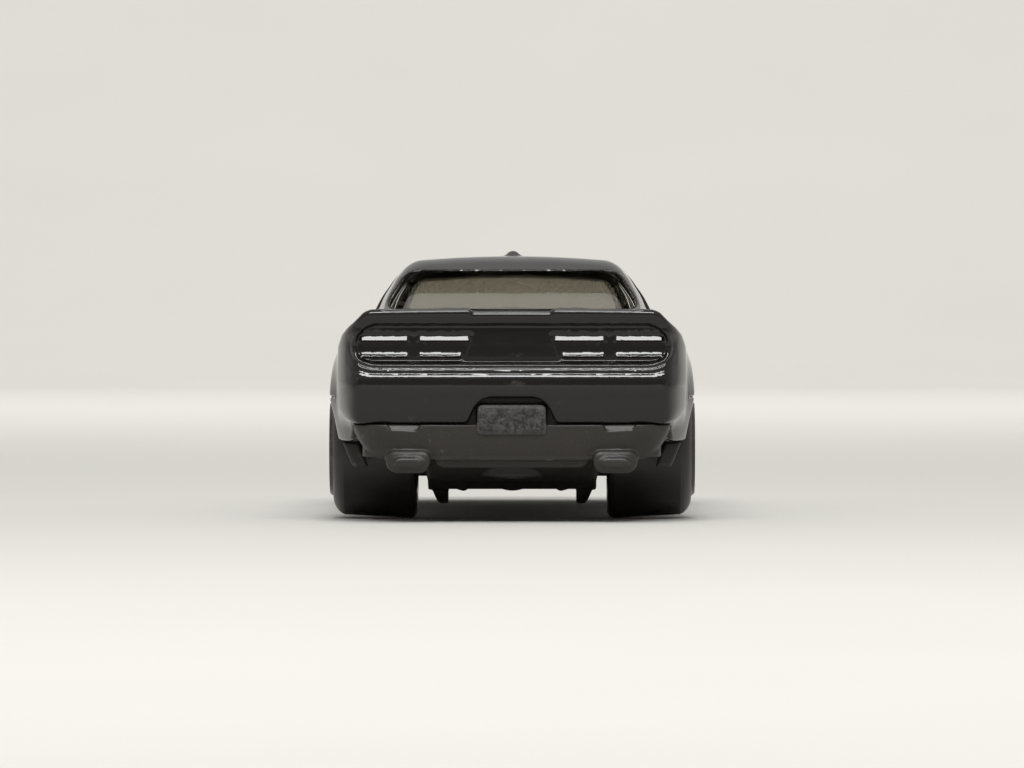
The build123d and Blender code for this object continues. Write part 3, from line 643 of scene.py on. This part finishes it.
# ---------------------------------------------------------------- materials
class Nodes:
    """Short ways to add nodes to one material."""

    def __init__(self, name, **settings):
        self.material = bpy.data.materials.new(name)
        self.material.use_nodes = True
        self.tree = self.material.node_tree
        self.shader = self.tree.nodes["Principled BSDF"]
        for label, value in settings.items():
            self.shader.inputs[label.replace("_", " ")].default_value = value
        coords = self.tree.nodes.new("ShaderNodeTexCoord")
        self.place = coords.outputs["Object"]

    def add(self, kind, inputs=None, **attributes):
        """A node with its inputs set or linked; returns the node."""
        node = self.tree.nodes.new("ShaderNode" + kind)
        for key, value in attributes.items():
            setattr(node, key, value)
        for key, value in (inputs or {}).items():
            if isinstance(value, bpy.types.NodeSocket):
                self.tree.links.new(value, node.inputs[key])
            else:
                node.inputs[key].default_value = value
        return node

    def math(self, operation, a, b=0.0):
        """One arithmetic step."""
        return self.add("Math", {0: a, 1: b}, operation=operation).outputs[0]

    def noise(self, per_mm, detail=3.0, roughness=0.55, stretch=None):
        """Noise with so many features per millimetre."""
        place = self.place
        if stretch:
            place = self.add("Mapping", {"Vector": place, "Scale": stretch}).outputs[0]
        inputs = {"Vector": place, "Scale": per_mm / MM, "Detail": detail, "Roughness": roughness}
        return self.add("TexNoise", inputs).outputs["Fac"]

    def spread(self, value, low, high, out_low=0.0, out_high=1.0):
        """A value remapped from low..high to out_low..out_high, clamped."""
        inputs = {0: value, 1: low, 2: high, 3: out_low, 4: out_high}
        return self.add("MapRange", inputs).outputs[0]

    def tint(self, factor, a, b):
        """A blend of two colours."""
        node = self.add("Mix", {0: factor}, data_type="RGBA")
        for index, value in ((6, a), (7, b)):
            if isinstance(value, bpy.types.NodeSocket):
                self.tree.links.new(value, node.inputs[index])
            else:
                node.inputs[index].default_value = (*value, 1)
        return node.outputs[2]

    def bump(self, height, distance_mm, strength=1.0, onto=None):
        """A bump from a height, on top of another one."""
        inputs = {"Height": height, "Distance": distance_mm * MM, "Strength": strength}
        if onto is not None:
            inputs["Normal"] = onto
        return self.add("Bump", inputs).outputs[0]

    def feed(self, **sockets):
        """Links values into the shader."""
        for label, value in sockets.items():
            self.tree.links.new(value, self.shader.inputs[label.replace("_", " ")])
        return self.material

    def edges(self, low=0.52, high=0.6):
        """1 on sharp outer edges, broken up by noise."""
        point = self.add("NewGeometry").outputs["Pointiness"]
        worn = self.spread(point, low, high)
        return self.math("MULTIPLY", worn, self.spread(self.noise(1.2, 4), 0.45, 0.6))


def groove(n, u, v, centre, half, corner):
    """Distance in millimetres to the outline of a rounded rectangle in two coordinates."""
    from_u = n.math("ABSOLUTE", n.math("SUBTRACT", u, centre[0] * MM))
    from_v = n.math("ABSOLUTE", n.math("SUBTRACT", v, centre[1] * MM))
    du = n.math("SUBTRACT", from_u, (half[0] - corner) * MM)
    dv = n.math("SUBTRACT", from_v, (half[1] - corner) * MM)
    out_u = n.math("MAXIMUM", du, 0.0)
    out_v = n.math("MAXIMUM", dv, 0.0)
    squares = n.math("ADD", n.math("MULTIPLY", out_u, out_u), n.math("MULTIPLY", out_v, out_v))
    outside = n.math("SQRT", squares)
    inside = n.math("MINIMUM", n.math("MAXIMUM", du, dv), 0.0)
    distance = n.math("SUBTRACT", n.math("ADD", outside, inside), corner * MM)
    return n.math("DIVIDE", n.math("ABSOLUTE", distance), MM)


def body_paint():
    """Gloss black enamel over a casting, with soft orange peel, worn edges, dust and dark shut lines."""
    n = Nodes("body_paint", Specular_IOR_Level=0.04, Coat_Weight=0.9, Coat_Roughness=0.045, Coat_IOR=1.5)
    x, y, z = n.add("SeparateXYZ", {0: n.place}).outputs
    across = n.math("ABSOLUTE", x)
    door = groove(n, y, z, *DOOR)
    on_side = n.spread(across, 12.4 * MM, 12.8 * MM)
    on_side = n.math("MULTIPLY", on_side, n.spread(z, 15.2 * MM, 15.9 * MM, 1.0, 0.0))
    bonnet = groove(n, x, y, *BONNET)
    on_top = n.spread(z, 12.6 * MM, 13.0 * MM)
    on_top = n.math("MULTIPLY", on_top, n.spread(y, 12 * MM, 13 * MM))
    boot = groove(n, x, y, *BOOT_LID)
    on_deck = n.spread(z, 17.2 * MM, 17.4 * MM)
    on_deck = n.math("MULTIPLY", on_deck, n.spread(y, -29 * MM, -28 * MM, 1.0, 0.0))
    line = None
    for distance, mask in ((door, on_side), (bonnet, on_top), (boot, on_deck)):
        cut = n.math("MULTIPLY", n.spread(distance, 0.06, 0.18, 1.0, 0.0), mask)
        line = cut if line is None else n.math("MAXIMUM", line, cut)
    dust = n.spread(n.noise(2.6, 6, 0.7), 0.66, 0.74)
    worn = n.edges(0.56, 0.68)
    colour = n.tint(n.noise(0.12, 2), (0.0048, 0.0040, 0.0036), (0.0072, 0.0060, 0.0052))
    colour = n.tint(n.math("MULTIPLY", dust, 0.10), colour, (0.30, 0.26, 0.22))
    colour = n.tint(n.math("MULTIPLY", worn, 0.22), colour, (0.22, 0.20, 0.18))
    colour = n.tint(n.math("MULTIPLY", line, 0.85), colour, (0.0012, 0.0010, 0.0010))
    peel = n.bump(n.noise(0.75, 2, 0.5), 0.007, 0.5)
    normal = n.bump(n.noise(4.5, 3, 0.6), 0.0012, 0.5, peel)
    smear = n.spread(n.noise(0.5, 3), 0.3, 0.7, 0.30, 0.42)
    smear = n.math("ADD", smear, n.math("MULTIPLY", dust, 0.12))
    return n.feed(Base_Color=colour, Roughness=smear, Normal=normal, Coat_Normal=normal)


def speckled_plastic(name, dark, light, rough, speck=0.35, peel=0.02):
    """Nodes of a moulded plastic with a fine flow speckle, faint scuffs and dusty edges."""
    n = Nodes(name, IOR=1.45)
    cloud = n.noise(0.3, 4, 0.6)
    specks = n.spread(n.noise(5.5, 4, 0.75), 0.60, 0.70)
    scuffs = n.spread(n.noise(1.4, 5, 0.7, (1.0, 0.25, 1.6)), 0.60, 0.72)
    colour = n.tint(cloud, dark, light)
    colour = n.tint(n.math("MULTIPLY", specks, speck * 0.3), colour, (0.34, 0.30, 0.26))
    colour = n.tint(n.math("MULTIPLY", n.edges(0.54, 0.64), 0.16), colour, (0.28, 0.26, 0.23))
    surface = n.spread(cloud, 0.3, 0.7, rough - 0.06, rough + 0.05)
    surface = n.math("ADD", surface, n.math("MULTIPLY", scuffs, 0.12))
    normal = n.bump(n.noise(3.2, 4, 0.6), peel, 0.6)
    normal = n.bump(n.noise(0.6, 2, 0.5), 0.03, 0.35, normal)
    n.feed(Base_Color=colour, Roughness=surface, Normal=normal)
    return n


def base_plastic():
    """Warm black moulded plastic, with a lighter cast number plate whose rim carries a painted highlight."""
    n = speckled_plastic("base_plastic", (0.018, 0.0155, 0.0138), (0.026, 0.0225, 0.0200), 0.46)
    x, y, z = n.add("SeparateXYZ", {0: n.place}).outputs
    # rim: distance to the plate's outline, where a painted highlight is laid along its edges.
    rim = groove(n, x, z, (0.0, 8.88), (2.9, 1.2), 0.45)
    across = n.spread(n.math("ABSOLUTE", x), 2.9 * MM, 3.0 * MM, 1.0, 0.0)
    above = n.math("MULTIPLY", n.spread(z, 7.55 * MM, 7.62 * MM), across)
    plate = n.math("MULTIPLY", above, n.spread(y, -37.9 * MM, -37.5 * MM, 1.0, 0.0))
    grit = n.spread(n.noise(2.2, 5, 0.7), 0.42, 0.66)
    old_colour = n.shader.inputs["Base Color"].links[0].from_socket
    old_rough = n.shader.inputs["Roughness"].links[0].from_socket
    old_normal = n.shader.inputs["Normal"].links[0].from_socket
    cast = n.tint(grit, (0.015, 0.013, 0.013), (0.066, 0.064, 0.066))
    # Lighter band along the plate's outline: a painted highlight of its bright top and bottom edges.
    cast = n.tint(n.math("MULTIPLY", n.spread(rim, 0.0, 0.2, 1.0, 0.0), 0.35), cast, (0.16, 0.15, 0.15))
    rough = n.add("Mix", {0: plate, 2: old_rough, 3: n.spread(grit, 0.0, 1.0, 0.42, 0.3)}).outputs[0]
    normal = n.bump(n.math("MULTIPLY", grit, plate), 0.05, 0.8, old_normal)
    return n.feed(Base_Color=n.tint(plate, old_colour, cast), Roughness=rough, Normal=normal)


def smoked_glazing():
    """Smoke-tinted clear moulding with faint flow lines, dust and hairline scratches."""
    n = Nodes("smoked_glazing", Transmission_Weight=1.0, IOR=1.46)
    flow = n.noise(0.16, 2, 0.5, (1.0, 0.5, 1.0))
    dust = n.spread(n.noise(4.0, 5, 0.75), 0.64, 0.72)
    hairs = n.spread(n.noise(0.9, 3, 0.5, (0.3, 6.0, 1.0)), 0.66, 0.70)
    colour = n.tint(flow, (0.52, 0.50, 0.43), (0.58, 0.56, 0.49))
    surface = n.math("ADD", n.math("MULTIPLY", dust, 0.14), n.spread(flow, 0.3, 0.7, 0.02, 0.05))
    surface = n.math("ADD", surface, n.math("MULTIPLY", hairs, 0.05))
    return n.feed(Base_Color=colour, Roughness=surface, Normal=n.bump(flow, 0.05, 0.5))


def tyre_plastic():
    """Satin black wheel plastic: turned micro-rings, worn edges and a little dust."""
    n = Nodes("tyre_plastic", IOR=1.49)
    split = n.add("SeparateXYZ", {0: n.place})
    across = {"W": split.outputs[0], "Scale": 3.2 / MM, "Detail": 3.0}
    rings = n.add("TexNoise", across, noise_dimensions="1D")
    cloud = n.noise(0.5, 4, 0.6)
    specks = n.spread(n.noise(5.0, 4, 0.75), 0.62, 0.71)
    colour = n.tint(cloud, (0.0075, 0.0066, 0.0058), (0.015, 0.0132, 0.0116))
    colour = n.tint(n.math("MULTIPLY", specks, 0.08), colour, (0.32, 0.27, 0.20))
    colour = n.tint(n.math("MULTIPLY", n.edges(0.54, 0.62), 0.12), colour, (0.20, 0.18, 0.15))
    normal = n.bump(rings.outputs["Fac"], 0.015, 0.35)
    normal = n.bump(n.noise(2.4, 4, 0.6), 0.010, 0.6, normal)
    return n.feed(Base_Color=colour, Roughness=n.spread(cloud, 0.3, 0.7, 0.34, 0.46), Normal=normal)


def bare_metal(name, tint, rough, stretch):
    """Drawn or spun metal with fine lines and dull patches."""
    n = Nodes(name, Metallic=1.0)
    lines = n.noise(3.0, 4, 0.6, stretch)
    patches = n.noise(0.6, 4, 0.6)
    dull = [c * 0.62 for c in tint]
    colour = n.tint(n.spread(patches, 0.35, 0.7), tint, dull)
    surface = n.spread(lines, 0.3, 0.7, rough - 0.08, rough + 0.1)
    surface = n.math("ADD", surface, n.math("MULTIPLY", patches, 0.08))
    return n.feed(Base_Color=colour, Roughness=surface, Normal=n.bump(lines, 0.006, 0.6))


def oversprayed_casting():
    """Rough grey casting with a thin, patchy coat of black overspray."""
    n = Nodes("casting_inside", Metallic=0.35)
    mist = n.spread(n.noise(0.35, 5, 0.65), 0.38, 0.62)
    colour = n.tint(mist, (0.20, 0.18, 0.16), (0.075, 0.068, 0.062))
    normal = n.bump(n.noise(3.0, 4, 0.6), 0.02, 0.7)
    return n.feed(Base_Color=colour, Roughness=n.spread(mist, 0.0, 1.0, 0.45, 0.6), Normal=normal)


def paper_floor():
    """Pale off-white card with a very faint fibre."""
    n = Nodes("paper_floor", Specular_IOR_Level=0.25)
    cloud = n.noise(0.02, 3, 0.5)
    colour = n.tint(cloud, (0.60, 0.585, 0.55), (0.625, 0.61, 0.575))
    fibre = n.noise(3.0, 4, 0.65)
    surface = n.spread(cloud, 0.3, 0.7, 0.72, 0.8)
    return n.feed(Base_Color=colour, Roughness=surface, Normal=n.bump(fibre, 0.015, 0.4))


# ---------------------------------------------------------------- pieces
def dress(piece, material):
    """Gives a piece one material."""
    piece.data.materials.clear()
    piece.data.materials.append(material)
    return piece


def bare_inside(body, material):
    """Gives the inner wall of the casting its own material."""
    body.data.materials.append(material)
    centres = np.zeros(len(body.data.polygons) * 3)
    body.data.polygons.foreach_get("center", centres)
    x, y, z = centres.reshape(-1, 3).T / MM
    x = np.abs(x)
    outer = np.minimum(lower_body(x, y, z), greenhouse(x, y, z))
    body.data.polygons.foreach_set("material_index", (outer < -0.55 * WALL).astype(np.int32))


# Grid steps, and the most triangles that each shell may keep.
BODY_STEP = 0.2
BASE_STEP = 0.18
GLASS_STEP = 0.3
BODY_FACES = 195000
BASE_FACES = 170000
GLASS_FACES = 40000
# Stretches of y and z over the tail lamps where the grid is twice as fine.
TAIL_FINE = ((-38.95, -36.7), (12.3, 16.3))


def make_shells():
    """Body, chassis and glazing."""
    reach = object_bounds()[1][0] / MM + 0.5
    low, high = (0, -39.2, 3.4), (reach, 39.2, 24.0)
    body = carve("body_casting", body_field, low, high, BODY_STEP, BODY_FACES, TAIL_FINE)
    low, high = (0, -39.2, 0.8), (reach, 39.2, 12.6)
    base = carve("chassis_moulding", chassis_field, low, high, BASE_STEP, BASE_FACES)
    low, high = (0, -28, 15.2), (12.6, 16.0, 23.2)
    clear = carve("window_moulding", glazing_field, low, high, GLASS_STEP, GLASS_FACES)
    dress(body, body_paint())
    bare_inside(body, oversprayed_casting())
    dress(base, base_plastic())
    dress(clear, smoked_glazing())
    for piece, node in ((body, "body_shell"), (base, "chassis_base"), (clear, "window_glazing")):
        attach(piece, "car")
        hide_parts(node)


make_shells()
cabin = speckled_plastic("cabin_plastic", (0.012, 0.012, 0.012), (0.02, 0.02, 0.02), 0.5, 0.2).material
rim_colours = ((0.02, 0.02, 0.021), (0.035, 0.035, 0.036))
rim = speckled_plastic("rim_plastic", *rim_colours, 0.26, 0.15, 0.006).material
tyre = tyre_plastic()
steel = bare_metal("axle_steel", (0.60, 0.60, 0.61), 0.24, (0.15, 3.0, 3.0))
zinc = bare_metal("rivet_metal", (0.62, 0.60, 0.57), 0.34, (1.0, 1.0, 1.0))
# Ending of the node's name, its material, and the width of its rounded edges.
LOOKS = (("tyre", tyre, 0.1), ("rim", rim, 0.06), ("axle", steel, 0.06), ("rivet", zinc, 0.06),
         ("tub", cabin, 0.1))
for node, piece in frame["nodes"].items():
    for ending, material, edge in LOOKS:
        if node.endswith(ending):
            dress(soften(piece, edge), material)


# ---------------------------------------------------------------- floor, light and camera
def sheet_of_card():
    """Floor that sweeps up into a backdrop behind the car."""
    profile = [(-1.3, 0.35), (-1.25, 0.0), (1.0, 0.0)]
    for i in range(1, 13):
        a = math.radians(60) * i / 12
        profile.append((1.0 + 0.5 * math.sin(a), 0.5 * (1 - math.cos(a))))
    verts = [(x, y, z) for y, z in profile for x in (-1.5, 1.5)]
    faces = [(2 * i, 2 * i + 1, 2 * i + 3, 2 * i + 2) for i in range(len(profile) - 1)]
    card = mesh_object("card", np.array(verts) / MM, faces)
    dress(card, paper_floor())


def softbox(name, place, aim, size, watts):
    """One white rectangular area light."""
    light = bpy.data.lights.new(name, "AREA")
    light.shape = "RECTANGLE"
    light.size, light.size_y = size
    light.energy = watts
    holder = bpy.data.objects.new(name, light)
    bpy.context.scene.collection.objects.link(holder)
    holder.location = place
    direction = Vector(aim) - Vector(place)
    holder.rotation_euler = direction.to_track_quat("-Z", "Y").to_euler()


sheet_of_card()
softbox("overhead", (0.0, -0.05, 0.52), (0, -0.03, 0.01), (0.16, 0.14), 0.85)
softbox("key", (0.0, -0.36, 0.46), (0, -0.03, 0.01), (0.46, 0.12), 3.0)
softbox("backdrop_wash", (0.0, 0.55, 0.7), (0, 1.3, 0.05), (1.2, 0.3), 8.0)
world = bpy.data.worlds.new("room")
bpy.context.scene.world = world
world.use_nodes = True
room = world.node_tree.nodes["Background"]
room.inputs["Color"].default_value = (1.0, 0.99, 0.97, 1)
room.inputs["Strength"].default_value = 0.45

# A long lens at desk height, directly behind the car and a little to the right of its centre.
EYE = (0.0024, -0.6721, 0.01867)
EYE_DOWN = 0.611  # degrees
EYE_LEFT = 0.214
lens = bpy.data.cameras.new("camera")
lens.lens = 260.5
lens.sensor_width = 36
lens.clip_start = 0.05
camera = bpy.data.objects.new("camera", lens)
bpy.context.scene.collection.objects.link(camera)
camera.location = EYE
camera.rotation_euler = [math.radians(a) for a in (90 - EYE_DOWN, 0, EYE_LEFT)]
bpy.context.scene.camera = camera
bpy.context.scene.view_settings.view_transform = "Standard"
